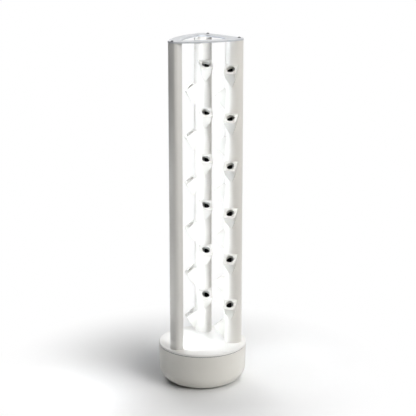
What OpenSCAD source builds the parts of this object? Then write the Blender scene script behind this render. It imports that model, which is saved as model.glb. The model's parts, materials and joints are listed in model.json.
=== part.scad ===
// Hydroponic tower: a round water tub with a lid, two grow columns with sloped
// planting ports, one light column and a tie frame across the three tops.
// Floor at z = 0, tub axis on the origin, light column towards -Y.

/* [Tub] */
// Outer radius of the tub and lid at the seam between them
tub_r = 225; // [215:1:240]
// Height of the tub's upper edge above the floor
tub_h = 192.5; // [175:0.5:230]
// Thickness of the tub's wall and floor
tub_wall = 4; // [3:0.5:5]
// Radius of the rounded bottom corner
tub_corner_r = 74; // [40:1:85]
// Lean of the tub's side from the vertical, in degrees
tub_draft = 1.6; // [0.5:0.1:3]

/* [Feet] */
// Radius of a rubber foot
foot_r = 16; // [10:1:22]
// Height that the feet hold the tub off the floor
foot_h = 3; // [2:0.5:6]
// Depth of the pocket that each foot sits in
foot_recess = 1.5; // [1:0.5:2]
// Distance of the feet from the tub's axis
foot_reach = 112; // [60:1:120]
// Number of feet
foot_count = 4; // [3:1:8]

/* [Lid] */
// Height of the dark gap between tub and lid
seam_h = 2.5; // [1.5:0.5:5]
// Height of the lid's outer edge
lid_h = 10; // [9:0.5:16]
// Radius of the lid's rounded upper edge
lid_edge_r = 7; // [3:0.5:8]
// Thickness of the lid's panel
lid_panel = 6; // [4:0.5:8]
// Depth of the skirt that locates the lid in the tub
lid_skirt_h = 8; // [5:1:14]
// Thickness of the skirt
lid_skirt_wall = 3; // [2:0.5:5]
// Gap between the skirt and the tub's inner wall
lid_fit = 1; // [0.5:0.1:2]
// How far the seal sits back from the lid's edge
seal_recess = 1.5; // [1:0.5:2.5]

/* [Grow columns] */
// Outer radius of a grow column
column_r = 45; // [42:0.5:50]
// Thickness of a column's wall
column_wall = 3; // [2:0.5:4]
// Distance from the tub's edge in to the axis of a grow column
column_inset = 67.3; // [62:0.1:80]
// Angle of each grow column from straight back, in degrees
column_turn = 45.77; // [43:0.01:48]
// Height from one port to the next in a row
port_pitch = 240.4; // [236:0.1:280]
// Plain height above the highest ports
head_h = 110; // [70:1:160]
// Radial gap round a spigot
spigot_fit = 0.2; // [0.1:0.05:0.5]

/* [Planting ports] */
// Half the width of a port's face at its upper edge
port_half_w = 33; // [28:0.5:36]
// How far a port stands out of the column
port_reach = 49; // [44:0.5:55]
// Fall of the sloped face from its upper edge to its lip
port_fall = 37; // [34:0.5:42]
// Height of the whole port, from its upper edge to its lowest point
port_drop = 109; // [98:0.5:112]
// Thickness of the port's wall
port_wall = 3; // [2:0.5:4]
// Radius of the edges along the port's underside
port_edge_r = 14; // [8:0.5:18]
// Radius of the planting hole
port_hole_r = 20.5; // [16:0.25:22]
// Distance of the hole up the face from the face's middle
port_hole_up = 2.5; // [0:0.25:3]
// Depth of the collar round the planting hole
port_collar_h = 17; // [12:0.5:20]
// Thickness of the collar
port_collar_wall = 2.5; // [1.5:0.25:3]
// Distance from a pitch line down to the upper edge of a port
port_top_gap = 4.8; // [4:0.1:6]
// Lean of a column's two rows together, from straight forward to the tower's middle
port_aim = 14.5; // [8:0.5:20]
// Angle of each row from that direction
port_row_angle = 46; // [40:1:50]
// Gap round a port in the column's window
port_fit = 0.15; // [0.1:0.05:0.3]

/* [Light column] */
// Width of the light column
light_w = 64; // [58:1:72]
// Depth of the light column
light_d = 45; // [40:1:55]
// Distance of its outer face in from the lid's edge
light_inset = 20; // [16:1:25]
// Thickness of the housing's wall
light_wall = 2.5; // [2:0.25:3.5]
// Radius of the housing's outer corners
light_corner_r = 22; // [14:0.5:24]
// Radius of the crowned outer face
light_crown_r = 80; // [70:5:200]
// Width of the open side that the diffuser closes
light_mouth_w = 52; // [46:1:54]
// Thickness of the diffuser
diffuser_t = 2; // [1.5:0.25:3]
// Width of the light board
board_w = 40; // [30:1:44]
// Thickness of the light board
board_t = 1.6; // [1:0.1:2]
// Distance from one light chip to the next
chip_pitch = 50; // [40:1:80]
// Side of a light chip
chip_w = 5; // [3:0.5:7]
// Radius of the foot's neck in the lid
neck_r = 12; // [8:0.5:14]

/* [Tie frame] */
// Thickness of the tie frame
tie_h = 7.5; // [6:0.5:12]
// Width of the frame's two long sides
tie_arm_w = 56; // [45:1:62]
// Width of the frame's back side
tie_back_w = 64; // [50:1:70]
// Radius of the bow of the two long sides
tie_bow_r = 480; // [400:10:900]
// Radius of the bow of the back side
tie_back_bow_r = 3000; // [1500:100:6000]
// How far the frame's corners stand over the columns
tie_over = 1; // [0.5:0.5:3]

/* [Tie screws] */
// Radius of a screw's shank
screw_r = 4; // [3:0.5:5]
// Radius of a screw's head
screw_head_r = 7.5; // [6:0.5:9]
// Height of a screw's head
screw_head_h = 4.4; // [3:0.2:6]
// Length of a screw below its head
screw_l = 34; // [24:1:40]
// Width across the flats of the screw's socket
screw_key = 5; // [4:0.5:6]
// Distance from a column's axis back to its screw
screw_back = 33; // [28:0.5:34]
// Radial gap between a screw and its boss
screw_fit = 0.08; // [0.03:0.01:0.1]
// Radial gap between a screw and the frame
screw_clear = 0.5; // [0.3:0.1:0.8]

/* [Water] */
// Outer radius of the riser pipes and the pump's drop pipe
pipe_r = 8; // [6:0.5:10]
// Wall of these pipes
pipe_wall = 2; // [1:0.25:3]
// Radial gap of a pipe in its socket
pipe_fit = 0.1; // [0.05:0.05:0.3]
// Depth of a pipe's socket
pipe_socket_h = 14; // [8:1:18]
// Radius of a hose barb
barb_r = 5; // [4:0.5:6]
// Wall of the hoses
hose_wall = 2; // [1.5:0.5:3]
// Radius of the drip head in the top of a column
drip_r = 32; // [26:1:36]
// Height of the drip head
drip_h = 14; // [12:1:18]

/* [Pump] */
// Radius of the pump's round body
pump_r = 27; // [24:1:32]
// Length of the pump's body along its shaft
pump_l = 46; // [40:1:60]
// Height of the pump's shaft above the floor
pump_z = 46; // [42:1:60]
// Radius of the impeller
impeller_r = 17; // [12:0.5:19]
// Width of the impeller's blades
impeller_w = 9; // [6:0.5:12]
// Number of blades
impeller_blades = 6; // [4:1:9]
// Radius of the pump's shaft
shaft_r = 1.5; // [1:0.25:2]
// Radial gap between the impeller and its shaft
shaft_fit = 0.05; // [0.02:0.01:0.1]
// Running gap round the impeller
impeller_gap = 2; // [1:0.25:3]

/* [Hidden] */
$fn = 96;
tiny = 0.01;
far = 400;

// Levels, from the floor up
tub_base = foot_h;
lid_z = tub_h + seam_h;
lid_top = lid_z + lid_h;
panel_z = lid_top - lid_panel;
row_count = 6;
column_top = lid_top + row_count * port_pitch + head_h;
cap_h = 3;
tie_z = column_top + cap_h;

// Tub side: a straight draft tangent to the rounded corner
corner_z = tub_base + tub_corner_r;
tangent_z = corner_z - tub_corner_r * sin(tub_draft);
corner_x = tub_r - (tub_h - tangent_z) * tan(tub_draft) - tub_corner_r * cos(tub_draft);
tub_inner_r = tub_r - tub_wall / cos(tub_draft);
skirt_r = tub_inner_r - lid_skirt_h * tan(tub_draft) - lid_fit;

// Columns
bore_r = column_r - column_wall;
spigot_r = bore_r - spigot_fit;
shoulder_h = 4;
SIDES = [["left", -1], ["right", 1]];
function side_sign(side) = side == "left" ? -1 : 1;
function row_dir(side, row) =
    -90 - side_sign(side) * port_aim + (row == "a" ? port_row_angle : -port_row_angle);
function crease_z(row, i) =
    lid_top + (i - (row == "a" ? 0 : 0.5)) * port_pitch - port_top_gap;

// Joint between the two lengths of a column, in the plain height between a high and a low port
joint_margin = 1.5;
spigot_h = port_pitch / 2 - port_drop - 2 * joint_margin;
split_z = crease_z("b", row_count / 2 + 1) - port_drop - joint_margin;

// Port profile: face slope, underside slope and their inner normals
face_a = atan2(port_fall, port_reach);
under_a = atan2(port_drop - port_fall, port_reach);
ogive_r = (port_half_w * port_half_w + port_drop * port_drop) / (2 * port_half_w);
face_n = [-sin(face_a), -cos(face_a)];
under_n = [-sin(under_a), cos(under_a)];
port_root_depth = 28;
port_root = column_r - port_root_depth;
function lip(inset) =
    [column_r + port_reach, -port_fall] + inset * (face_n + under_n) / (1 + face_n * under_n);

// Lid sockets and the spiders that carry the riser pipes
seal_fit = 0.3;
socket_wall = 4;
socket_h = 20;
ledge_h = 4;
ledge_w = 4;
spider_z = panel_z - socket_h + ledge_h;
spider_h = 6;
spider_fit = 0.3;
foot_plug_h = lid_top - spider_z - spider_h - spider_fit;
hub_wall = 3;
hub_r = pipe_r + hub_wall;
spoke_w = 4;
barb_z = panel_z - socket_h - 2 * (barb_r + hose_wall);
hub_floor = 2;
hub_base = barb_z - barb_r - hose_wall - hub_floor;
riser_z = panel_z - socket_h;
barb_wall = 2;
passage_r = barb_r - barb_wall;
well_step = 0.5;
well_r = pipe_r - pipe_wall - well_step;
column_reach = tub_r - column_inset;
column_x = column_reach * sin(column_turn);
column_y = column_reach * cos(column_turn);
barb_l = 14;

// Top of a column
boss_wall = 3;
boss_r = screw_r + boss_wall;
tip_room = 4;
boss_h = screw_l - tie_h + tip_room;
plug_h = 12;
drip_room = 14;
drip_z = column_top - plug_h - boss_h - drip_room;
drip_wall = 2;
drip_hole_r = 2;
drip_holes = 8;
drip_ring_r = drip_r * 0.7;

// Tee under the lid and the drop pipe to the pump
tee_wall = 4;
tee_r = pipe_r + tee_wall;
tee_stop = 8;
tee_base = barb_z - pipe_socket_h - tee_stop;
flange_r = 26;
flange_h = panel_z - lid_z;
outlet_top = pump_z + pump_r + pipe_socket_h;
outlet_wall = 3;
outlet_r = pipe_r + outlet_wall;

// Light column
light_reach = tub_r - light_inset;
light_mid = light_reach - light_d / 2;
light_back = light_reach - light_d;
lip_w = 2;
groove_fit = 0.2;
diffuser_w = light_w - light_wall - 2 * groove_fit;
board_back = 14;
rail_w = 3;
rail_x = 10;
neck_fit = 0.1;
chip_t = 1.2;
plug_fit = 0.3;
light_plug_h = screw_l - tie_h - cap_h + tip_room;
light_room = light_plug_h + cap_h;
light_run = column_top - lid_top - 2 * light_room;
light_screw_in = screw_r + 6;

// Pump
outlet_margin = 2;
front_y = -outlet_r - outlet_margin;
block_inset = 4;
block_half_w = pump_r - block_inset;
pump_clear = 6;
block_z = tub_base + tub_wall + pump_clear;
chamber_r = impeller_r + impeller_gap;
chamber_l = impeller_w + impeller_gap;
cover_h = 5;
rotor_r = 8;
rotor_l = 24;
rotor_gap = 1;
shaft_end = 4;
shaft_l = chamber_l + rotor_l + rotor_gap + shaft_end;
blade_w = 1.6;
plate_h = 1.5;
hub_ring = 3;
slot_w = 3;
slot_l = chamber_r * 1.2;
slot_y = [6, 12];

// Gland in the tub's rear wall
gland_r = 8;
gland_drop = 34;
gland_z = tub_h - gland_drop;
gland_lip = 3;

PORTS = [for (side = ["left", "right"]) for (row = ["a", "b"]) for (i = [1:row_count]) [side, row, i]];
function port_name(p) = str("port_", p[0], "_", p[1], p[2]);

// Shared shapes

module ring(r_out, r_in, h) {
    difference() {
        cylinder(r = r_out, h = h);
        translate([0, 0, -1]) cylinder(r = r_in, h = h + 2);
    }
}

module at_column(side) {
    translate([side_sign(side) * column_x, column_y, 0]) children();
}

module toward_tee(side) {
    at_column(side) rotate([0, 0, atan2(-column_y, -side_sign(side) * column_x)]) children();
}

// Half section of the tub's outside, drawn inwards by the wall for its inside
module tub_section(inset) {
    r = tub_corner_r - inset;
    translate([corner_x, corner_z]) circle(r = r);
    polygon([[0, tub_base + inset], [corner_x, tub_base + inset],
             [corner_x + r * cos(tub_draft), corner_z - r * sin(tub_draft)],
             [tub_r - inset / cos(tub_draft), tub_h], [0, tub_h]]);
}

// Round cylinder whose side is one flank of a port's pointed arch
module port_flank(inset, s) {
    translate([0, s * (port_half_w - ogive_r), 0])
        rotate([0, 90, 0]) cylinder(r = ogive_r - inset, h = far);
}

// Solid of a planting port with its upper edge at z = 0, pointing along +X.
// The side view is a wedge, the front view a pointed arch, and the edges along
// the underside are rounded. A positive inset draws every face inwards.
module port_solid(inset) {
    tip = lip(inset);
    half_w = port_half_w - inset;
    edge_r = port_edge_r - inset;
    intersection() {
        rotate([90, 0, 0])
            linear_extrude(far, center = true)
                polygon([[port_root, -inset],
                         [tip[0] - (-inset - tip[1]) / tan(face_a), -inset],
                         tip,
                         [port_root, tip[1] + (port_root - tip[0]) * tan(under_a)]]);
        port_flank(inset, -1);
        port_flank(inset, 1);
        translate([tip[0], 0, tip[1]])
            rotate([0, -under_a, 0]) rotate([90, 0, 90])
                linear_extrude(far, center = true) {
                    translate([-half_w, edge_r]) square([2 * half_w, far]);
                    translate([edge_r - half_w, 0]) square([2 * (half_w - edge_r), far]);
                    for (s = [-1, 1])
                        translate([s * (half_w - edge_r), edge_r]) circle(r = edge_r);
                }
    }
}

// Axis of the planting hole, from the middle of the sloped face
module on_port_face() {
    translate([column_r + port_reach / 2, 0, -port_fall / 2])
        rotate([0, face_a, 0]) translate([-port_hole_up, 0, 0]) children();
}

// Hollow port with a deep collar round its hole; the shell opens into the column's bore
module planting_port() {
    difference() {
        union() {
            difference() {
                port_solid(0);
                port_solid(port_wall);
                translate([0, 0, -port_drop - 1]) cylinder(r = bore_r - 1, h = port_drop + 2);
            }
            intersection() {
                port_solid(0);
                on_port_face()
                    translate([0, 0, -port_collar_h])
                        cylinder(r = port_hole_r + port_collar_wall, h = port_collar_h + 1);
            }
        }
        on_port_face() translate([0, 0, -port_collar_h - 1]) cylinder(r = port_hole_r, h = far / 4);
    }
}

module at_port(p) {
    at_column(p[0]) translate([0, 0, crease_z(p[1], p[2])]) rotate([0, 0, row_dir(p[0], p[1])]) children();
}

// A length of column tube from z0 to z1 with a spigot of length plug_l below and the windows of its ports
module column_tube(side, z0, z1, plug_l) {
    difference() {
        at_column(side) {
            translate([0, 0, z0]) ring(column_r, bore_r, z1 - z0);
            translate([0, 0, z0]) ring(bore_r + tiny, spigot_r - column_wall, shoulder_h);
            translate([0, 0, z0 - plug_l]) ring(spigot_r, spigot_r - column_wall, plug_l + tiny);
        }
        for (p = PORTS)
            if (p[0] == side && crease_z(p[1], p[2]) < z1 && crease_z(p[1], p[2]) > z0)
                at_port(p) port_solid(-port_fit);
    }
}

// Outline of the light housing, drawn inwards by an inset
module light_outline(inset) {
    half_w = light_w / 2 - inset;
    r = light_corner_r - inset;
    outer_y = inset - light_reach;
    intersection() {
        translate([0, light_crown_r - light_reach]) circle(r = light_crown_r - inset);
        union() {
            translate([-half_w, outer_y + r]) square([2 * half_w, light_d - 2 * inset - r]);
            translate([r - half_w, outer_y]) square([2 * (half_w - r), light_d - 2 * inset]);
            for (s = [-1, 1]) translate([s * (half_w - r), outer_y + r]) circle(r = r);
        }
    }
}

// Centre of a circle of radius big that holds two smaller circles, touching both from inside.
// It lies to the right of the way from p to q.
function bow_centre(p, rp, q, rq, big) =
    let (d = norm(q - p), u = (q - p) / d, a = big - rp, b = big - rq,
         along = (d * d + a * a - b * b) / (2 * d))
    p + along * u + sqrt(a * a - along * along) * [u[1], -u[0]];
// Point where the big circle touches the small one
function bow_touch(c, p, rp) = p + rp * (p - c) / norm(p - c);

tie_corner_r = column_r + tie_over;
light_corner = [light_w / 2 - light_corner_r, light_corner_r - light_reach];
right_axis = [column_x, column_y];
left_axis = [-column_x, column_y];
light_left = [-light_corner[0], light_corner[1]];
arm_c = bow_centre(light_left, light_corner_r + tie_over, left_axis, tie_corner_r, tie_bow_r);
back_c = bow_centre(left_axis, tie_corner_r, right_axis, tie_corner_r, tie_back_bow_r);
arm_low = bow_touch(arm_c, light_left, light_corner_r + tie_over);
arm_high = bow_touch(arm_c, left_axis, tie_corner_r);
back_left = bow_touch(back_c, left_axis, tie_corner_r);

// Outline of the tie frame: bowed sides, tangent round corners over the columns, open middle
module tie_outline() {
    difference() {
        intersection() {
            translate(arm_c) circle(r = tie_bow_r);
            mirror([1, 0]) translate(arm_c) circle(r = tie_bow_r);
            translate(back_c) circle(r = tie_back_bow_r);
            polygon([back_left, arm_high, [-tub_r, 0], arm_low, [-arm_low[0], arm_low[1]],
                     [tub_r, 0], [-arm_high[0], arm_high[1]], [-back_left[0], back_left[1]],
                     [0, tub_r]]);
        }
        intersection() {
            translate(arm_c) circle(r = tie_bow_r - tie_arm_w);
            mirror([1, 0]) translate(arm_c) circle(r = tie_bow_r - tie_arm_w);
            translate(back_c) circle(r = tie_back_bow_r - tie_back_w);
        }
    }
    for (p = [left_axis, right_axis]) translate(p) circle(r = tie_corner_r);
    light_outline(-tie_over);
}

function screw_spot(which) =
    which == "light" ? [0, light_screw_in - light_reach]
                     : [side_sign(which) * column_x, column_y + screw_back];

// Sub-parts

module reservoir_tub() color("#d8d5cd")
    difference() {
        rotate_extrude()
            difference() {
                intersection() {
                    tub_section(0);
                    square([far, tub_h]);
                }
                intersection() {
                    tub_section(tub_wall);
                    square([far, far]);
                }
            }
        for (i = [1:foot_count])
            rotate([0, 0, (i - 0.5) * 360 / foot_count])
                translate([foot_reach, 0, tub_base - 1]) cylinder(r = foot_r, h = foot_recess + 1);
        translate([0, tub_r - 3 * tub_wall, gland_z])
            rotate([-90, 0, 0]) cylinder(r = gland_r, h = 6 * tub_wall);
    }

module tub_feet() color("#3a3a3a")
    for (i = [1:foot_count])
        rotate([0, 0, (i - 0.5) * 360 / foot_count])
            translate([foot_reach, 0, 0]) cylinder(r = foot_r, h = foot_h + foot_recess);

// Split rubber bush with a lip on both sides of the wall
module cable_gland() color("#4a4a4a")
    intersection() {
        translate([0, 0, gland_z])
            rotate([-90, 0, 0])
                difference() {
                    union() {
                        cylinder(r = gland_r, h = tub_r - tiny);
                        cylinder(r = gland_r + gland_lip, h = tub_r - 2 * tub_wall);
                    }
                    cylinder(r = gland_r / 2, h = far);
                    cylinder(r = 2 * gland_r, h = tub_r - 4 * tub_wall);
                }
        cylinder(r = tub_r, h = tub_h);
    }

module lid() color("#f2f1ee")
    difference() {
        union() {
            rotate_extrude() {
                difference() {
                    union() {
                        translate([0, lid_z]) square([tub_r - lid_edge_r, lid_h]);
                        translate([0, lid_z]) square([tub_r, lid_h - lid_edge_r]);
                        intersection() {
                            translate([tub_r - lid_edge_r, lid_top - lid_edge_r]) circle(r = lid_edge_r);
                            translate([0, lid_z]) square([far, lid_h]);
                        }
                    }
                    translate([-1, lid_z - 1])
                        square([skirt_r - lid_skirt_wall + 1, lid_h - lid_panel + 1]);
                }
                translate([skirt_r - lid_skirt_wall, lid_z - seam_h - lid_skirt_h])
                    square([lid_skirt_wall, seam_h + lid_skirt_h + tiny]);
            }
            for (s = SIDES)
                at_column(s[0]) translate([0, 0, panel_z - socket_h])
                    cylinder(r = bore_r + socket_wall, h = socket_h + tiny);
        }
        for (s = SIDES)
            at_column(s[0]) {
                translate([0, 0, spider_z]) cylinder(r = bore_r, h = far);
                translate([0, 0, panel_z - socket_h - 1]) cylinder(r = bore_r - ledge_w, h = far);
            }
        translate([0, -light_mid, lid_z - 1]) cylinder(r = neck_r + neck_fit, h = far);
    }

module lid_seal() color("#2f2f30")
    translate([0, 0, tub_h]) ring(tub_r - seal_recess, skirt_r + seal_fit, seam_h);

module lower_column(side) color("#f4f3f0") column_tube(side, lid_top, split_z, foot_plug_h);

module upper_column(side) color("#f4f3f0") column_tube(side, split_z, column_top, spigot_h);

module column_cap(side) color("#f4f3f0")
    difference() {
        at_column(side) {
            translate([0, 0, column_top]) cylinder(r = column_r, h = cap_h);
            translate([0, 0, column_top - plug_h]) ring(spigot_r, spigot_r - column_wall, plug_h + tiny);
            translate([0, screw_back, column_top - boss_h]) cylinder(r = boss_r, h = boss_h + tiny);
        }
        translate(concat(screw_spot(side), tie_z - boss_h)) cylinder(r = screw_r + screw_fit, h = far);
    }

module riser_pipe(side) color("#e6e6e4")
    at_column(side)
        translate([0, 0, riser_z]) ring(pipe_r, pipe_r - pipe_wall, drip_z + pipe_socket_h / 2 - riser_z);

// Shallow cup on the riser pipe, with a ring of holes over the planting rows
module drip_head(side) color("#dedede")
    at_column(side) translate([0, 0, drip_z])
        difference() {
            union() {
                ring(drip_r, drip_r - drip_wall, drip_h);
                cylinder(r = drip_r, h = drip_wall);
                cylinder(r = pipe_r + drip_wall, h = pipe_socket_h / 2 + drip_wall);
            }
            translate([0, 0, -1]) cylinder(r = pipe_r + pipe_fit, h = pipe_socket_h / 2 + 1);
            for (i = [1:drip_holes])
                rotate([0, 0, i * 360 / drip_holes])
                    translate([drip_ring_r, 0, -1]) cylinder(r = drip_hole_r, h = drip_wall + 2);
            translate([0, 0, drip_wall + pipe_socket_h / 2 - 1])
                rotate([90, 0, 0]) cylinder(r = drip_hole_r, h = 4 * pipe_r, center = true);
        }

// Three-spoked ring that stands in the lid's socket, holds the riser and takes the hose
module pipe_spider(side) color("#dcdcdc")
    toward_tee(side)
        difference() {
            union() {
                translate([0, 0, spider_z]) ring(bore_r - spider_fit, bore_r - ledge_w, spider_h);
                for (i = [0:2])
                    rotate([0, 0, 60 + i * 120])
                        translate([0, -spoke_w / 2, spider_z])
                            cube([bore_r - ledge_w + 1, spoke_w, spider_h]);
                translate([0, 0, hub_base]) cylinder(r = hub_r, h = riser_z + pipe_socket_h - hub_base);
                translate([0, 0, barb_z]) rotate([0, 90, 0]) cylinder(r = barb_r, h = hub_r + barb_l);
            }
            translate([0, 0, riser_z]) cylinder(r = pipe_r + pipe_fit, h = far);
            translate([0, 0, barb_z - barb_r]) cylinder(r = well_r, h = far);
            translate([0, 0, barb_z]) rotate([0, 90, 0]) cylinder(r = passage_r, h = far);
        }

module hose(side) color("#c9ccd0")
    toward_tee(side)
        translate([hub_r + tiny, 0, barb_z])
            rotate([0, 90, 0]) ring(barb_r + hose_wall, barb_r, column_reach - hub_r - tee_r - 2 * tiny);

// Two rails in the light housing that carry the board, wider by a fit for the plugs round them
module light_rails(fit) {
    for (s = [-1, 1])
        translate([s * rail_x - rail_w / 2 - fit, -light_reach])
            square([rail_w + 2 * fit, board_back - board_t + fit]);
}

// Extruded back shell, open towards the columns, with rails for the board and a groove for the diffuser
module light_housing() color("#d9d6ce")
    translate([0, 0, lid_top])
        linear_extrude(column_top - lid_top) {
            intersection() {
                light_outline(light_wall / 2);
                light_rails(0);
            }
            difference() {
                light_outline(0);
                light_outline(light_wall);
                translate([-light_mouth_w / 2, -light_mid]) square([light_mouth_w, light_d]);
                translate([-light_w / 2 + light_wall / 2, -light_back - lip_w - diffuser_t])
                    square([light_w - light_wall, diffuser_t + groove_fit]);
            }
        }

module light_diffuser() color("#fbfbf7")
    translate([-diffuser_w / 2, -light_back - lip_w - diffuser_t, lid_top + light_room])
        cube([diffuser_w, diffuser_t, light_run]);

module light_board() color("#c4c7c9")
    translate([-board_w / 2, -light_reach + board_back - board_t, lid_top + light_room])
        cube([board_w, board_t, light_run]);

module light_chips() color("#f3e9b0") {
    count = floor(light_run / chip_pitch) - 1;
    for (i = [0:count], s = [-1, 1])
        translate([s * board_w / 4 - chip_w / 2, -light_reach + board_back,
                   (lid_top + column_top - count * chip_pitch - chip_w) / 2 + i * chip_pitch])
            cube([chip_w, chip_t, chip_w]);
}

module light_plug_outline() {
    difference() {
        intersection() {
            light_outline(light_wall + plug_fit);
            translate([-light_w, -light_reach])
                square([2 * light_w, light_d - lip_w - diffuser_t - groove_fit]);
        }
        light_rails(plug_fit);
    }
}

module light_top_plug() color("#e2e0da")
    difference() {
        union() {
            translate([0, 0, column_top]) linear_extrude(cap_h) light_outline(0);
            translate([0, 0, column_top - light_plug_h])
                linear_extrude(light_plug_h + tiny) light_plug_outline();
        }
        translate(concat(screw_spot("light"), tie_z - boss_h)) cylinder(r = screw_r + screw_fit, h = far);
    }

module light_foot() color("#d0cec8")
    difference() {
        union() {
            translate([0, 0, lid_top]) linear_extrude(light_plug_h) light_plug_outline();
            translate([0, -light_mid, lid_z - seam_h])
                cylinder(r = neck_r, h = lid_top - lid_z + seam_h + tiny);
        }
        translate([0, -light_mid, lid_z - seam_h - 1]) cylinder(r = neck_r / 2, h = far);
    }

module tie_frame() color("#d7dce6")
    difference() {
        translate([0, 0, tie_z]) linear_extrude(tie_h) tie_outline();
        for (w = ["left", "right", "light"])
            translate(concat(screw_spot(w), tie_z - 1)) cylinder(r = screw_r + screw_clear, h = tie_h + 2);
    }

// Button head screw with a six-sided key socket
module tie_screw(which) color("#55585c")
    translate(concat(screw_spot(which), tie_z + tie_h))
        difference() {
            union() {
                cylinder(r = screw_head_r, h = screw_head_h / 2);
                intersection() {
                    cylinder(r = screw_head_r, h = screw_head_h);
                    translate([0, 0, screw_head_h - 1.5 * screw_head_r]) sphere(r = 1.5 * screw_head_r);
                }
                translate([0, 0, -screw_l]) cylinder(r = screw_r, h = screw_l + tiny);
            }
            translate([0, 0, screw_head_h / 3])
                cylinder(r = screw_key / sqrt(3), h = screw_head_h, $fn = 6);
        }

module on_pump_axis() {
    translate([0, front_y, pump_z]) rotate([-90, 0, 0]) children();
}

// Round motor body on a foot block, with the pump chamber in front and the outlet on top
module pump_body() color("#34373b")
    difference() {
        union() {
            on_pump_axis() cylinder(r = pump_r, h = pump_l);
            translate([-block_half_w, front_y, block_z])
                cube([2 * block_half_w, pump_l, pump_z - block_z]);
            translate([0, 0, pump_z]) cylinder(r = outlet_r, h = outlet_top - pump_z);
        }
        on_pump_axis() {
            translate([0, 0, -1]) cylinder(r = chamber_r, h = chamber_l + 1);
            translate([0, 0, -1])
                cylinder(r = rotor_r + rotor_gap, h = chamber_l + rotor_l + rotor_gap + 1);
            cylinder(r = shaft_r, h = shaft_l);
        }
        translate([0, 0, outlet_top - pipe_socket_h]) cylinder(r = pipe_r + pipe_fit, h = far);
        translate([0, front_y + chamber_l / 2, pump_z]) cylinder(r = passage_r, h = far);
    }

// Front cover with intake slots and the shaft's front bearing
module pump_cover() color("#3c4045")
    on_pump_axis()
        difference() {
            translate([0, 0, -cover_h]) cylinder(r = pump_r, h = cover_h);
            for (y = slot_y, s = [-1, 1])
                translate([0, s * y, 0]) cube([slot_l, slot_w, 4 * cover_h], center = true);
            translate([0, 0, -cover_h / 2]) cylinder(r = shaft_r, h = cover_h);
        }

// Bladed wheel and magnet rotor on a fixed shaft
module pump_impeller() color("#5b6067")
    on_pump_axis()
        difference() {
            union() {
                translate([0, 0, impeller_gap / 2 + impeller_w]) cylinder(r = rotor_r, h = rotor_l);
                translate([0, 0, impeller_gap / 2]) cylinder(r = shaft_r + hub_ring, h = impeller_w + tiny);
                for (i = [1:impeller_blades])
                    rotate([0, 0, i * 360 / impeller_blades])
                        translate([shaft_r + 1, -blade_w / 2, impeller_gap / 2])
                            cube([impeller_r - shaft_r - 1, blade_w, impeller_w]);
                translate([0, 0, impeller_gap / 2 + impeller_w - plate_h])
                    cylinder(r = impeller_r, h = plate_h + tiny);
            }
            translate([0, 0, -1]) cylinder(r = shaft_r + shaft_fit, h = far);
        }

module pump_shaft() color("#e9e9ea")
    on_pump_axis()
        translate([0, 0, -cover_h / 2]) cylinder(r = shaft_r, h = cover_h / 2 + shaft_l);

module drop_pipe() color("#e6e6e4")
    translate([0, 0, outlet_top - pipe_socket_h])
        ring(pipe_r, pipe_r - pipe_wall, tee_base + pipe_socket_h - outlet_top + pipe_socket_h);

// Fitting under the lid: drop pipe below, a barb towards each column
module hose_tee() color("#dcdcdc")
    difference() {
        union() {
            translate([0, 0, tee_base]) cylinder(r = tee_r, h = panel_z - tee_base - flange_h + tiny);
            translate([0, 0, panel_z - flange_h]) cylinder(r = flange_r, h = flange_h);
            for (s = SIDES)
                rotate([0, 0, atan2(column_y, s[1] * column_x)])
                    translate([0, 0, barb_z]) rotate([0, 90, 0]) cylinder(r = barb_r, h = tee_r + barb_l);
        }
        translate([0, 0, tee_base - 1]) cylinder(r = pipe_r + pipe_fit, h = pipe_socket_h + 1);
        translate([0, 0, tee_base]) cylinder(r = well_r, h = barb_z + barb_r - tee_base);
        for (s = SIDES)
            rotate([0, 0, atan2(column_y, s[1] * column_x)])
                translate([0, 0, barb_z]) rotate([0, 90, 0]) cylinder(r = passage_r, h = far);
    }

reservoir_tub();
tub_feet();
cable_gland();
lid();
lid_seal();
lower_column("left");  // lower_column_left
lower_column("right");  // lower_column_right
upper_column("left");  // upper_column_left
upper_column("right");  // upper_column_right
column_cap("left");  // column_cap_left
column_cap("right");  // column_cap_right
riser_pipe("left");  // riser_pipe_left
riser_pipe("right");  // riser_pipe_right
drip_head("left");  // drip_head_left
drip_head("right");  // drip_head_right
pipe_spider("left");  // pipe_spider_left
pipe_spider("right");  // pipe_spider_right
hose("left");  // hose_left
hose("right");  // hose_right
for (p = PORTS)
    color("#f4f3f0") at_port(p) planting_port();
light_housing();
light_diffuser();
light_board();
light_chips();
light_top_plug();
light_foot();
tie_frame();
tie_screw("left");  // tie_screw_left
tie_screw("right");  // tie_screw_right
tie_screw("light");  // tie_screw_light
pump_body();
pump_cover();
pump_impeller();
pump_shaft();
drop_pipe();
hose_tee();
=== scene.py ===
"""Hydroponic tower: finishes, small moulded detail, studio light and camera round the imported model."""

import json
import logging
import math
from dataclasses import dataclass, field
from enum import Enum
from functools import partial
from typing import Any, Callable, Optional, Union

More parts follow.
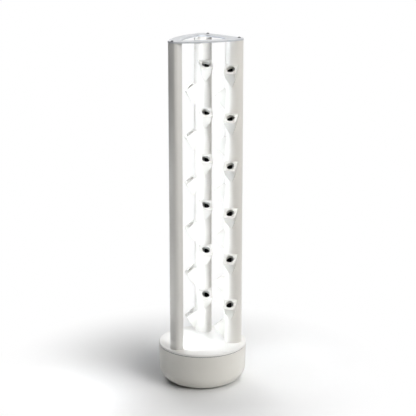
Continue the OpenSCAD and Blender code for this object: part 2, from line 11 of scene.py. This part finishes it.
import bpy
import numpy as np
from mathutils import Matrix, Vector


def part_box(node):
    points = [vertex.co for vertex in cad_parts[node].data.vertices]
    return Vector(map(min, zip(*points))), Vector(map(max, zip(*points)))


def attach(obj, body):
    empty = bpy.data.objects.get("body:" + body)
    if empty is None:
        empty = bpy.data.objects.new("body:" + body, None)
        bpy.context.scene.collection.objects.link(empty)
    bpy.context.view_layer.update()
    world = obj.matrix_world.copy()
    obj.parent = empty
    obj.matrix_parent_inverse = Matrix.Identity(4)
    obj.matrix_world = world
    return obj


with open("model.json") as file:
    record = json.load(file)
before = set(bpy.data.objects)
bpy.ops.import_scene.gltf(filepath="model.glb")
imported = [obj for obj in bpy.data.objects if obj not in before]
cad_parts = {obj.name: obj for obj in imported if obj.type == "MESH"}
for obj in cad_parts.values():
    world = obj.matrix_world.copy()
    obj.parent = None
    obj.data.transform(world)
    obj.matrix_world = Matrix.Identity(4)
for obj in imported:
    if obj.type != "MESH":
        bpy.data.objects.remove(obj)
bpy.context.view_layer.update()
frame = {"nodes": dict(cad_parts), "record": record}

log = logging.getLogger("tower")
Key = Union[str, int]
Socket = bpy.types.NodeSocket
Triple = tuple[float, float, float]

# Radians by which Blender's wave texture turns per metre at a scale of one.
WAVE_TURN = 20.0


def linear(hex_colour: str) -> tuple[float, float, float, float]:
    """Turn an sRGB hex colour into linear light.

    Args:
        hex_colour: Six hex digits with a leading hash.

    Returns:
        Red, green, blue and an alpha of one.
    """
    parts = np.array([int(hex_colour[i:i + 2], 16) for i in (1, 3, 5)]) / 255.0
    low = parts / 12.92
    high = ((parts + 0.055) / 1.055) ** 2.4
    red, green, blue = np.where(parts <= 0.04045, low, high)
    return float(red), float(green), float(blue), 1.0


def add_node(
    tree: bpy.types.NodeTree,
    kind: str,
    settings: Optional[dict[Key, Any]] = None,
    links: Optional[dict[Key, Socket]] = None,
) -> bpy.types.Node:
    """Add one node with its settings and links.

    Args:
        tree: Node tree that gets the node.
        kind: Blender's name for the kind of node.
        settings: Property or input (by name or number) and its value.
        links: Input (by name or number) and the output that feeds it.

    Returns:
        The new node.
    """
    node = tree.nodes.new(kind)
    for name, value in (settings or {}).items():
        if isinstance(name, str) and hasattr(node, name):
            setattr(node, name, value)
        else:
            node.inputs[name].default_value = value
    for name, source in (links or {}).items():
        tree.links.new(source, node.inputs[name])
    return node


class Body(Enum):
    """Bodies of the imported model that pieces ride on."""

    TUB = "tub"
    STACK = "lid_stack"
    FRAME = "tie_frame"


class Side(Enum):
    """The two grow columns, by the word for their side in node names."""

    LEFT = "left"
    RIGHT = "right"


@dataclass(frozen=True)
class Finish:
    """An opaque surface: a slow change of tone, a fine grain in the relief and in the gloss.

    A noise as wide as mottle_mm blends two close tones. A finer noise, grain_mm wide and stretched by
    stretch, lifts the surface by grain_depth_mm and moves the roughness by gloss_swing.
    """

    name: str
    tone: str
    second_tone: str
    roughness: float
    ior: float = 1.5
    metallic: float = 0.0
    mottle_mm: float = 80.0
    grain_mm: float = 2.0
    grain_depth_mm: float = 0.03
    gloss_swing: float = 0.06
    stretch: Triple = (1.0, 1.0, 1.0)
    edge_mm: float = 0.6

    def material(self) -> bpy.types.Material:
        """Make the finish, or find it if it is made already.

        Returns:
            The Blender material.
        """
        found = bpy.data.materials.get(self.name)
        if found is not None:
            return found
        made = bpy.data.materials.new(self.name)
        made.use_nodes = True
        tree = made.node_tree
        tree.nodes.clear()
        place = add_node(tree, "ShaderNodeTexCoord").outputs["Object"]
        shader = self.shader(tree, place)
        add_node(tree, "ShaderNodeOutputMaterial", links={"Surface": shader})
        return made

    def shader(self, tree: bpy.types.NodeTree, place: Socket) -> Socket:
        """Wire the finish's patterns into one surface shader.

        Args:
            tree: Node tree of the material.
            place: Object coordinates.

        Returns:
            The shader's output.
        """
        slow = add_node(
            tree,
            "ShaderNodeTexNoise",
            {"Scale": 1000.0 / self.mottle_mm, "Detail": 3.0},
            {"Vector": place},
        )
        tone = add_node(
            tree,
            "ShaderNodeMix",
            {"data_type": "RGBA", 6: linear(self.tone), 7: linear(self.second_tone)},
            {0: slow.outputs[0]},
        ).outputs[2]
        drawn = add_node(tree, "ShaderNodeMapping", {"Scale": self.stretch}, {"Vector": place})
        grain = add_node(
            tree,
            "ShaderNodeTexNoise",
            {"Scale": 1000.0 / self.grain_mm, "Detail": 4.0, "Roughness": 0.6},
            {"Vector": drawn.outputs[0]},
        )
        gloss = add_node(
            tree,
            "ShaderNodeMapRange",
            {"To Min": self.roughness - self.gloss_swing, "To Max": self.roughness + self.gloss_swing},
            {"Value": grain.outputs[0]},
        )
        soft_edge = add_node(tree, "ShaderNodeBevel", {"samples": 6, "Radius": self.edge_mm / 1000.0})
        relief = add_node(
            tree,
            "ShaderNodeBump",
            {"Distance": self.grain_depth_mm / 1000.0},
            {"Height": grain.outputs[0], "Normal": soft_edge.outputs[0]},
        )
        body = add_node(
            tree,
            "ShaderNodeBsdfPrincipled",
            {"IOR": self.ior, "Metallic": self.metallic},
            {
                "Base Color": self.tinted(tree, place, tone),
                "Roughness": gloss.outputs[0],
                "Normal": relief.outputs[0],
            },
        )
        self.extras(tree, place, body)
        return body.outputs[0]

    def tinted(self, tree: bpy.types.NodeTree, place: Socket, tone: Socket) -> Socket:
        """Return the tone as it is; finishes with a further pattern change it."""
        return tone

    def extras(self, tree: bpy.types.NodeTree, place: Socket, body: bpy.types.Node) -> None:
        """Add nothing to the shader; finishes with glow or clear body do."""


@dataclass(frozen=True)
class GreyedTowardsFloor(Finish):
    """A finish that greys slightly towards the floor, broken up by a noise."""

    low_grey_tone: str = "#b9b5ab"
    grey_top_m: float = 0.07
    grey_most: float = 0.55
    spot_mm: float = 14.0

    def tinted(self, tree: bpy.types.NodeTree, place: Socket, tone: Socket) -> Socket:
        """Blend in a darker grey below a set height, broken up by a noise.

        Args:
            tree: Node tree of the material.
            place: Object coordinates, with the floor at zero height.
            tone: Colour so far.

        Returns:
            Colour, greyer towards the floor.
        """
        height = add_node(tree, "ShaderNodeSeparateXYZ", links={0: place}).outputs[2]
        low = add_node(
            tree,
            "ShaderNodeMapRange",
            {"From Max": self.grey_top_m, "To Min": self.grey_most, "To Max": 0.0},
            {"Value": height},
        )
        spots = add_node(
            tree, "ShaderNodeTexNoise", {"Scale": 1000.0 / self.spot_mm, "Detail": 5.0}, {"Vector": place}
        )
        amount = add_node(
            tree,
            "ShaderNodeMath",
            {"operation": "MULTIPLY"},
            {0: low.outputs[0], 1: spots.outputs[0]},
        )
        return add_node(
            tree,
            "ShaderNodeMix",
            {"data_type": "RGBA", 7: linear(self.low_grey_tone)},
            {0: amount.outputs[0], 6: tone},
        ).outputs[2]


@dataclass(frozen=True)
class Glowing(Finish):
    """A finish that gives light of its own."""

    glow: str = "#f2f7ff"
    strength: float = 11.8

    def extras(self, tree: bpy.types.NodeTree, place: Socket, body: bpy.types.Node) -> None:
        """Set the glow on the shader."""
        body.inputs["Emission Color"].default_value = linear(self.glow)
        body.inputs["Emission Strength"].default_value = self.strength


@dataclass(frozen=True)
class Banded(Glowing):
    """A glow that swells over each light chip behind it, and towards both ends of its length.

    With u = (2 z - low_m - high_m) / (high_m - low_m), the strength at height z is
    strength (1 + ends u^steepness) (1 + swing sin(2 pi (z - start_m) / pitch_m)).
    """

    pitch_m: float = 0.05
    start_m: float = 0.0187
    swing: float = 0.12
    low_m: float = 0.2355
    high_m: float = 1.7269
    ends: float = 0.9
    steepness: float = 8.0

    def extras(self, tree: bpy.types.NodeTree, place: Socket, body: bpy.types.Node) -> None:
        """Set the glow's colour and feed its strength from bands along Z.

        Args:
            tree: Node tree of the material.
            place: Object coordinates.
            body: Surface shader that glows.
        """
        super().extras(tree, place, body)
        turns = 2.0 * math.pi / self.pitch_m
        phase = math.pi / 2.0 - turns * self.start_m
        bands = add_node(
            tree,
            "ShaderNodeTexWave",
            {"bands_direction": "Z", "Scale": turns / WAVE_TURN, "Phase Offset": phase},
            {"Vector": place},
        )
        swell = add_node(
            tree,
            "ShaderNodeMapRange",
            {"To Min": self.strength * (1.0 - self.swing), "To Max": self.strength * (1.0 + self.swing)},
            {"Value": bands.outputs["Fac"]},
        )
        height = add_node(tree, "ShaderNodeSeparateXYZ", links={0: place}).outputs[2]
        along = add_node(
            tree,
            "ShaderNodeMapRange",
            {"From Min": self.low_m, "From Max": self.high_m, "To Min": -1.0, "To Max": 1.0},
            {"Value": height},
        )
        rise = add_node(
            tree, "ShaderNodeMath", {"operation": "POWER", 1: self.steepness}, {0: along.outputs[0]}
        )
        ends = add_node(
            tree, "ShaderNodeMath", {"operation": "MULTIPLY_ADD", 1: self.ends, 2: 1.0}, {0: rise.outputs[0]}
        )
        total = add_node(
            tree, "ShaderNodeMath", {"operation": "MULTIPLY"}, {0: swell.outputs[0], 1: ends.outputs[0]}
        )
        tree.links.new(total.outputs[0], body.inputs["Emission Strength"])


@dataclass(frozen=True)
class Clear(Finish):
    """A cloudy clear body, such as silicone hose."""

    clear: float = 0.5

    def extras(self, tree: bpy.types.NodeTree, place: Socket, body: bpy.types.Node) -> None:
        """Set how much light passes through."""
        body.inputs["Transmission Weight"].default_value = self.clear


# Injection-moulded ABS with a fine spark-eroded grain: even, warm pale grey, soft highlight. The grain
# of about 0.4 mm is drawn at 1.6 mm so that it shows.
# The tone greys towards the floor, darker the lower it lies, broken up by a noise.
TUB_ABS = GreyedTowardsFloor(
    "moulded_abs_warm_grey", "#eceae4", "#e5e3dc", 0.3, 1.53, grain_mm=1.6, grain_depth_mm=0.05
)
# The same plastic in white, polished a little more on the lid; its tone, whiter than the ports' white, is
# painted light for the brightly lit top.
LID_ABS_PAINTED_LIGHT = Finish("moulded_abs_white_painted_light", "#f0efed", "#ebebe8", 0.32, 1.53, grain_mm=1.8, grain_depth_mm=0.03)
# Drawn PVC tube: white, with faint long lines from the die.
COLUMN_PVC = Finish(
    "extruded_pvc_white",
    "#e8e6e1",
    "#e3e1db",
    0.3,
    1.53,
    mottle_mm=120.0,
    grain_mm=2.4,
    stretch=(1.0, 1.0, 0.03),
)
# Moulded ports in the same white plastic as the lid, a little more matt than the tube; their tone, a touch
# darker, is painted shade for the ports' shaded undersides.
PORT_ABS_SHADED = Finish(
    "moulded_abs_port_white_painted_shade", "#e5e4df", "#e0dfd9", 0.34, 1.53, grain_mm=1.4, grain_depth_mm=0.03
)
# Black inner faces of tubes and ports: painted shade, darkening the insides seen through the planting holes.
HOLE_SHADE_BLACK = Finish("black_painted_hole_shade", "#1b1c1d", "#252627", 0.5, 1.53, mottle_mm=30.0, grain_mm=1.6)
# Aluminium extrusion under satin powder coat: orange-peel relief about 2 mm wide.
LIGHT_COAT = Finish(
    "powder_coated_aluminium_warm_white", "#e4e3df", "#dddcd8", 0.36, 1.5, grain_mm=2.2, grain_depth_mm=0.06
)
# Sheet plate under a cool grey powder coat.
FRAME_COAT = Finish(
    "powder_coated_plate_cool_grey", "#cfd2d7", "#c8cbd0", 0.38, 1.5, grain_mm=2.2, grain_depth_mm=0.05
)
# Steel with black oxide: dark, slightly blue, worn a little brighter where it is handled.
SCREW_STEEL = Finish(
    "black_oxide_steel",
    "#34363a",
    "#45484c",
    0.35,
    1.5,
    metallic=1.0,
    mottle_mm=6.0,
    grain_mm=0.8,
    grain_depth_mm=0.02,
)
# EPDM rubber: matt black with a dusty bloom.
RUBBER = Finish("epdm_rubber_black", "#262627", "#343435", 0.75, 1.52, mottle_mm=25.0, grain_mm=1.2)
# Opal acrylic over the light board: it glows almost evenly.
OPAL = Banded("opal_acrylic_lit", "#f7f6f1", "#f2f1ec", 0.3, 1.49, grain_mm=3.0, grain_depth_mm=0.01)
# White lacquer on the aluminium light board.
BOARD = Finish("white_solder_mask", "#eceee9", "#e3e6e0", 0.35, 1.55, grain_mm=1.0, grain_depth_mm=0.01)
# Phosphor over each light chip.
PHOSPHOR = Glowing("yellow_phosphor_lit", "#f2df93", "#ecd67f", 0.4, 1.5, glow="#fff1cf", strength=4.0)
# Drawn PVC water pipe, a little greyer than the columns.
PIPE_PVC = Finish(
    "extruded_pvc_grey_white", "#dcdcd8", "#d2d2ce", 0.4, 1.53, grain_mm=2.0, stretch=(1.0, 1.0, 0.05)
)
# Moulded fittings of the water circuit.
FITTING = Finish("moulded_polypropylene_grey", "#cfd1d0", "#c6c8c7", 0.45, 1.49, grain_mm=1.4)
# Silicone hose: cloudy clear.
SILICONE = Clear("silicone_hose", "#dfe4e6", "#d6dcdf", 0.35, 1.41, grain_mm=3.0, grain_depth_mm=0.02)
# Glass-filled nylon of the pump: dark with a fine leathery grain.
PUMP_NYLON = Finish(
    "moulded_nylon_charcoal", "#2d3033", "#383b3f", 0.55, 1.53, grain_mm=1.2, grain_depth_mm=0.08
)
# Impeller: mid grey moulding.
IMPELLER_NYLON = Finish("moulded_nylon_grey", "#7b8086", "#70757b", 0.45, 1.53, grain_mm=1.2)
# Ground stainless shaft.
SHAFT_STEEL = Finish(
    "ground_stainless_steel",
    "#d3d3d4",
    "#c6c6c8",
    0.22,
    1.5,
    metallic=1.0,
    grain_mm=0.8,
    grain_depth_mm=0.005,
)


def show_finish(name: str, finish: Finish) -> None:
    """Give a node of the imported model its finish.

    Args:
        name: Node's name.
        finish: What it is made of.
    """
    node = frame["nodes"][name]
    mesh = node.data
    mesh.materials.clear()
    mesh.materials.append(finish.material())
    mesh.polygons.foreach_set("material_index", np.zeros(len(mesh.polygons), dtype=np.int32))
    log.info("%s: %s", name, finish.name)


def line_faces(name: str, inner: Callable[[np.ndarray, np.ndarray], np.ndarray], lining: Finish) -> None:
    """Give a node's inner faces a second finish.

    Args:
        name: Node's name.
        inner: Test of face middles and outward normals, both of shape (faces, 3), true for inner faces.
        lining: Finish of the inner faces.
    """
    mesh = frame["nodes"][name].data
    middle = np.empty(3 * len(mesh.polygons))
    normal = np.empty(3 * len(mesh.polygons))
    mesh.polygons.foreach_get("center", middle)
    mesh.polygons.foreach_get("normal", normal)
    mesh.materials.append(lining.material())
    chosen = inner(middle.reshape(-1, 3), normal.reshape(-1, 3))
    mesh.polygons.foreach_set("material_index", chosen.astype(np.int32))
    log.info("%s: %d faces of %s", name, int(chosen.sum()), lining.name)


def grid_piece(name: str, points: np.ndarray, finish: Finish, body: Body) -> None:
    """Make a piece from closed rings of points, each ring a loop and each row of a ring a loop too.

    Args:
        name: Piece's name.
        points: Array of shape (parts, turns, section, 3), closed along turns and section.
        finish: What it is made of.
        body: Body that it rides on.
    """
    parts, turns, section, _ = points.shape
    first = np.arange(parts)[:, None, None] * turns * section
    here = np.arange(turns)[None, :, None]
    across = np.arange(section)[None, None, :]
    onward = (here + 1) % turns
    beside = (across + 1) % section
    corners = [first + here * section + across, first + onward * section + across,
               first + onward * section + beside, first + here * section + beside]
    faces = np.stack(corners, axis=-1).reshape(-1, 4)
    mesh = bpy.data.meshes.new(name)
    mesh.from_pydata(points.reshape(-1, 3), [], faces)
    mesh.polygons.foreach_set("use_smooth", np.ones(len(faces), dtype=bool))
    mesh.materials.append(finish.material())
    mesh.update()
    piece = bpy.data.objects.new(name, mesh)
    bpy.context.scene.collection.objects.link(piece)
    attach(piece, body.value)
    log.info("%s: %d faces", name, len(faces))


@dataclass
class SubAssembly:
    """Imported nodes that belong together, each with its finish."""

    finishes: dict[str, Finish] = field(default_factory=dict)

    def build(self) -> None:
        """Add no piece; sub-assemblies with moulded detail do."""

    def dress(self) -> None:
        """Give each node its finish."""
        for name, finish in self.finishes.items():
            show_finish(name, finish)


@dataclass
class TubAssembly(SubAssembly):
    """Tub with its feet and cable bush."""

    finishes: dict[str, Finish] = field(
        default_factory=lambda: {"reservoir_tub": TUB_ABS, "tub_feet": RUBBER, "cable_gland": RUBBER}
    )


@dataclass
class LidAssembly(SubAssembly):
    """Lid and its seal."""

    finishes: dict[str, Finish] = field(default_factory=lambda: {"lid": LID_ABS_PAINTED_LIGHT, "lid_seal": RUBBER})


@dataclass
class GrowColumn(SubAssembly):
    """A grow column with its ports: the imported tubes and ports, and a rounded lip on each planting hole."""

    side: Side = Side.LEFT
    mount_depth: float = 0.004
    core_depth: float = 0.03
    bore_room: float = 0.0005
    inward: float = 0.5
    lip_r: float = 0.0009
    lip_turns: int = 64
    lip_section: int = 10

    def __post_init__(self) -> None:
        """List the column's nodes by its side."""
        kinds = {
            "lower_column": COLUMN_PVC,
            "upper_column": COLUMN_PVC,
            "column_cap": COLUMN_PVC,
            "riser_pipe": PIPE_PVC,
            "drip_head": FITTING,
            "pipe_spider": FITTING,
            "hose": SILICONE,
        }
        self.finishes = {f"{kind}_{self.side.value}": finish for kind, finish in kinds.items()}
        self.finishes.update({mount["name"].removesuffix("_hole"): PORT_ABS_SHADED for mount in self.holes()})

    def holes(self) -> list[dict[str, Any]]:
        """Return the record's planting holes of this column."""
        start = f"port_{self.side.value}_"
        return [m for m in frame["record"]["mounts"] if m["name"].startswith(start)]

    def build(self) -> None:
        """Make the rounded lips of the column's planting holes, as one piece.

        A lip is a torus round the hole's mouth: p = c + (R + r cos v)(e cos u + f sin u) + a r sin v,
        with c the middle of the mouth, a the hole's axis, e and f across it, R the hole's radius plus r,
        and the tube sunk by half into the sloped face.
        """
        mounts = self.holes()
        axis = np.array([m["axis"] for m in mounts])
        axis /= np.linalg.norm(axis, axis=1, keepdims=True)
        inside = np.array([m["pos_m"] for m in mounts])
        mouth = inside + axis * self.mount_depth
        radius = mounts[0]["dims"]["r_mm"] / 1000.0 + self.lip_r
        across = np.cross(axis, [0.0, 0.0, 1.0])
        across /= np.linalg.norm(across, axis=1, keepdims=True)
        along = np.cross(axis, across)
        u = np.linspace(0.0, 2.0 * math.pi, self.lip_turns, endpoint=False)[None, :, None, None]
        v = np.linspace(0.0, 2.0 * math.pi, self.lip_section, endpoint=False)[None, None, :, None]
        out = across[:, None, None, :] * np.cos(u) + along[:, None, None, :] * np.sin(u)
        ring = (radius + self.lip_r * np.cos(v)) * out + self.lip_r * np.sin(v) * axis[:, None, None, :]
        points = mouth[:, None, None, :] + ring
        grid_piece(f"planting_lips_{self.side.value}", points, PORT_ABS_SHADED, Body.STACK)

    def inside_tube(self, middle: np.ndarray, normal: np.ndarray) -> np.ndarray:
        """Tell which faces of a column tube look at its axis: seen from above, n . d < -inward |d|.

        Here n is the face's normal and d the way from the axis to the face's middle.

        Args:
            middle: Middles of the faces.
            normal: Their outward normals.

        Returns:
            True for each inner face.
        """
        low, high = (np.array(corner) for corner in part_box(f"column_cap_{self.side.value}"))
        away = middle[:, :2] - (low[:2] + high[:2]) / 2.0
        return np.sum(normal[:, :2] * away, axis=1) < -self.inward * np.linalg.norm(away, axis=1)

    def inside_port(self, mount: dict[str, Any], middle: np.ndarray, normal: np.ndarray) -> np.ndarray:
        """Tell which faces line a port's hollow: those that look at a point in it, apart from the bore.

        Args:
            mount: Record's entry for the port's planting hole.
            middle: Middles of the faces.
            normal: Their outward normals.

        Returns:
            True for each inner face.
        """
        axis = np.array(mount["axis"]) / np.linalg.norm(mount["axis"])
        start = np.array(mount["pos_m"])
        core = start - axis * self.core_depth
        looks_in = np.sum(normal * (middle - core), axis=1) < 0.0
        offset = middle - start
        radius = np.linalg.norm(offset - np.outer(offset @ axis, axis), axis=1)
        return looks_in & (radius > mount["dims"]["r_mm"] / 1000.0 + self.bore_room)

    def dress(self) -> None:
        """Give each node its finish, and tubes and ports black inner faces that paint shade into the insides
        seen through the holes.
        """
        super().dress()
        for kind in ("lower_column", "upper_column"):
            line_faces(f"{kind}_{self.side.value}", self.inside_tube, HOLE_SHADE_BLACK)
        for mount in self.holes():
            line_faces(mount["name"].removesuffix("_hole"), partial(self.inside_port, mount), HOLE_SHADE_BLACK)


@dataclass
class LightColumn(SubAssembly):
    """Light column: housing, plugs, board, chips and lit diffuser."""

    finishes: dict[str, Finish] = field(
        default_factory=lambda: {
            "light_housing": LIGHT_COAT,
            "light_top_plug": LIGHT_COAT,
            "light_foot": LIGHT_COAT,
            "light_diffuser": OPAL,
            "light_board": BOARD,
            "light_chips": PHOSPHOR,
        }
    )


@dataclass
class TieFrame(SubAssembly):
    """Tie frame and its screws."""

    finishes: dict[str, Finish] = field(
        default_factory=lambda: {
            "tie_frame": FRAME_COAT,
            "tie_screw_left": SCREW_STEEL,
            "tie_screw_right": SCREW_STEEL,
            "tie_screw_light": SCREW_STEEL,
        }
    )


@dataclass
class WaterCircuit(SubAssembly):
    """Pump, drop pipe and tee under the lid."""

    finishes: dict[str, Finish] = field(
        default_factory=lambda: {
            "pump_body": PUMP_NYLON,
            "pump_cover": PUMP_NYLON,
            "pump_impeller": IMPELLER_NYLON,
            "pump_shaft": SHAFT_STEEL,
            "drop_pipe": PIPE_PVC,
            "hose_tee": FITTING,
        }
    )


@dataclass
class Camera:
    """Camera at the photograph's place: fitted turn, height, distance and lens."""

    turn_deg: float = 47.1
    pitch_deg: float = 14.63
    seam_height: float = 0.195
    above_seam: float = 2.345
    distance: float = 6.241
    aside: float = 0.0292
    lens: float = 110.62
    sensor: float = 36.0

    def build(self) -> None:
        """Make the camera and hand it to the scene."""
        turn = math.radians(self.turn_deg)
        data = bpy.data.cameras.new("camera")
        data.lens = self.lens
        data.sensor_width = self.sensor
        camera = bpy.data.objects.new("camera", data)
        camera.location = (
            self.aside * math.cos(turn) + self.distance * math.sin(turn),
            self.aside * math.sin(turn) - self.distance * math.cos(turn),
            self.seam_height + self.above_seam,
        )
        camera.rotation_euler = (math.radians(90.0 - self.pitch_deg), 0.0, turn)
        bpy.context.scene.collection.objects.link(camera)
        bpy.context.scene.camera = camera


@dataclass(frozen=True)
class Lamp:
    """A soft square lamp: its place round the tower, side, power, aim, width of throw and tint."""

    name: str
    turn_deg: float
    away: float
    height: float
    side: float
    power: float
    aim: Triple = (0.0, 0.0, 0.8)
    spread_deg: float = 180.0
    tone: str = "#ffffff"

    def build(self) -> None:
        """Make the lamp and turn it to its aim."""
        turn = math.radians(self.turn_deg)
        data = bpy.data.lights.new(self.name, "AREA")
        data.size = self.side
        data.energy = self.power
        data.color = linear(self.tone)[:3]
        data.spread = math.radians(self.spread_deg)
        lamp = bpy.data.objects.new(self.name, data)
        lamp.location = (self.away * math.sin(turn), -self.away * math.cos(turn), self.height)
        lamp.rotation_euler = (Vector(self.aim) - lamp.location).to_track_quat("-Z", "Y").to_euler()
        bpy.context.scene.collection.objects.link(lamp)


@dataclass
class Studio:
    """Pale floor, white surround and soft lamps."""

    floor_reach: float = 9.0
    floor_rings: int = 24
    floor_turns: int = 64
    fade_middle: Triple = (-0.1, 0.04, 0.0)
    fade_start: float = 0.25
    fade_end: float = 1.08
    paper_tone: str = "#f2f3f4"
    paper_second_tone: str = "#eeeff0"
    # Paper fibres of about 2 mm, drawn coarser so that they show.
    fibre_mm: float = 6.25
    # Each lamp's name, turn, distance, height, side, power, aim and spread. The first five shape the
    # uprights and the tub, the two high ones light the ports' sloped faces, the floor ones open up the
    # shadow round the tower, and the last four lift the tub's and the light column's darker sides.
    lamps: tuple[Lamp, ...] = (
        Lamp("right", 100.0, 6.43, 6.2, 3.2, 173.0, tone="#fffdfa"),
        Lamp("front_right", 85.0, 7.27, 5.0, 3.2, 204.0, tone="#fffdfa"),
        Lamp("back_left", 250.0, 7.27, 5.0, 3.2, 220.0),
        Lamp("top_right", 120.0, 1.44, 4.75, 1.6, 27.0, tone="#fffdfa"),
        Lamp("back", 227.0, 4.16, 1.38, 1.6, 9.0),
        Lamp("high_front", 340.0, 1.5, 4.0, 0.4, 0.17, (0.0, 0.1, 1.3), 24.0),
        Lamp("high_right", 60.0, 1.5, 4.0, 0.4, 0.22, (0.0, 0.1, 1.3), 24.0),
        Lamp("floor_right", 140.0, 1.3, 2.8, 0.5, 1.3, (0.58, 0.69, 0.0), 40.0),
        Lamp("floor_back", 165.0, 1.3, 2.8, 0.4, 0.8, (0.1, 0.55, 0.0), 34.0),
        Lamp("floor_front", 335.0, 1.9, 2.6, 0.4, 3.8, (-0.49, -1.04, 0.0), 30.0),
        Lamp("floor_side", 345.0, 1.4, 2.8, 0.4, 0.4, (-0.18, -0.67, 0.0), 18.0),
        Lamp("floor_left", 300.0, 2.2, 2.8, 0.4, 0.34, (-0.9, -0.5, 0.0), 26.0),
        Lamp("low_right", 95.0, 2.2, 0.6, 0.3, 0.04, (0.0, 0.0, 0.05), 20.0),
        Lamp("low_left", 320.0, 2.2, 0.6, 0.3, 0.17, (0.0, -0.2, 0.48), 18.0),
        Lamp("middle_left", 320.0, 2.2, 0.9, 0.4, 0.25, (0.0, -0.2, 0.95), 27.0),
        Lamp("high_left", 325.0, 2.6, 1.5, 0.5, 0.14, (0.0, 0.0, 1.7), 50.0),
    )

    def floor(self) -> None:
        """Make the floor: a wide disc z = 0 whose white takes over from its shading with distance."""
        count = self.floor_turns
        ring = np.geomspace(self.fade_start, self.floor_reach, self.floor_rings)
        turn = np.linspace(0.0, 2.0 * math.pi, count, endpoint=False)
        radius, angle = np.meshgrid(ring, turn, indexing="ij")
        flat = np.stack([radius * np.cos(angle), radius * np.sin(angle), np.zeros_like(radius)], axis=-1)
        points = np.concatenate([np.zeros((1, 3)), flat.reshape(-1, 3)])
        here = 1 + np.arange(count)
        beside = 1 + (np.arange(count) + 1) % count
        near = np.stack([np.zeros(count, dtype=int), here, beside], axis=-1)
        row = np.arange(self.floor_rings - 1)[:, None] * count
        corners = [row + here, row + count + here, row + count + beside, row + beside]
        quads = np.stack(corners, axis=-1).reshape(-1, 4)
        mesh = bpy.data.meshes.new("floor")
        mesh.from_pydata(points, [], near.tolist() + quads.tolist())
        mesh.materials.append(self.paper())
        floor = bpy.data.objects.new("floor", mesh)
        bpy.context.scene.collection.objects.link(floor)

    def paper(self) -> bpy.types.Material:
        """Make the floor's white paper: matt, and plain white to the camera far from the tower.

        Returns:
            The floor's material.
        """
        made = bpy.data.materials.new("white_paper_floor")
        made.use_nodes = True
        tree = made.node_tree
        tree.nodes.clear()
        place = add_node(tree, "ShaderNodeTexCoord").outputs["Object"]
        reach = add_node(
            tree, "ShaderNodeVectorMath", {"operation": "DISTANCE", 1: self.fade_middle}, {0: place}
        )
        fade = add_node(
            tree,
            "ShaderNodeMapRange",
            {"interpolation_type": "SMOOTHSTEP", "From Min": self.fade_start, "From Max": self.fade_end},
            {"Value": reach.outputs["Value"]},
        )
        seen = self.seen(tree)
        amount = add_node(tree, "ShaderNodeMath", {"operation": "MULTIPLY"}, {0: fade.outputs[0], 1: seen})
        fibre = add_node(
            tree, "ShaderNodeTexNoise", {"Scale": 1000.0 / self.fibre_mm, "Detail": 4.0}, {"Vector": place}
        )
        tone = add_node(
            tree,
            "ShaderNodeMix",
            {"data_type": "RGBA", 6: linear(self.paper_tone), 7: linear(self.paper_second_tone)},
            {0: fibre.outputs[0]},
        )
        matt = add_node(tree, "ShaderNodeBsdfDiffuse", links={"Color": tone.outputs[2]})
        white = add_node(tree, "ShaderNodeEmission", {"Color": (1.0, 1.0, 1.0, 1.0), "Strength": 1.0})
        both = add_node(
            tree, "ShaderNodeMixShader", links={0: amount.outputs[0], 1: matt.outputs[0], 2: white.outputs[0]}
        )
        add_node(tree, "ShaderNodeOutputMaterial", links={"Surface": both.outputs[0]})
        return made

    def seen(self, tree: bpy.types.NodeTree) -> Socket:
        """Return one for camera, glossy and transmission rays, and zero for the rays that light the tower."""
        path = add_node(tree, "ShaderNodeLightPath")
        first = add_node(
            tree, "ShaderNodeMath", {"operation": "MAXIMUM"},
            {0: path.outputs["Is Camera Ray"], 1: path.outputs["Is Glossy Ray"]},
        )
        both = add_node(
            tree, "ShaderNodeMath", {"operation": "MAXIMUM"},
            {0: first.outputs[0], 1: path.outputs["Is Transmission Ray"]},
        )
        return both.outputs[0]

    def world(self) -> None:
        """Make the surround: white where it is seen, and no light of its own on the tower."""
        world = bpy.data.worlds.new("surround")
        bpy.context.scene.world = world
        world.use_nodes = True
        tree = world.node_tree
        tree.nodes.clear()
        sky = add_node(
            tree, "ShaderNodeBackground", {"Color": (1.0, 1.0, 1.0, 1.0)}, {"Strength": self.seen(tree)}
        )
        add_node(tree, "ShaderNodeOutputWorld", links={"Surface": sky.outputs[0]})

    def build(self) -> None:
        """Make floor, surround and lamps, and show colours plainly."""
        self.floor()
        self.world()
        for lamp in self.lamps:
            lamp.build()
        bpy.context.scene.view_settings.view_transform = "Standard"


def main() -> None:
    """Build camera and studio, then every sub-assembly in order."""
    logging.basicConfig(level=logging.INFO, format="%(message)s")
    Camera().build()
    Studio().build()
    columns = [GrowColumn(side=side) for side in Side]
    for part in [TubAssembly(), LidAssembly(), *columns, LightColumn(), TieFrame(), WaterCircuit()]:
        part.build()
        part.dress()
        log.info("%s: %d nodes dressed", type(part).__name__, len(part.finishes))


if __name__ == "__main__":
    main()
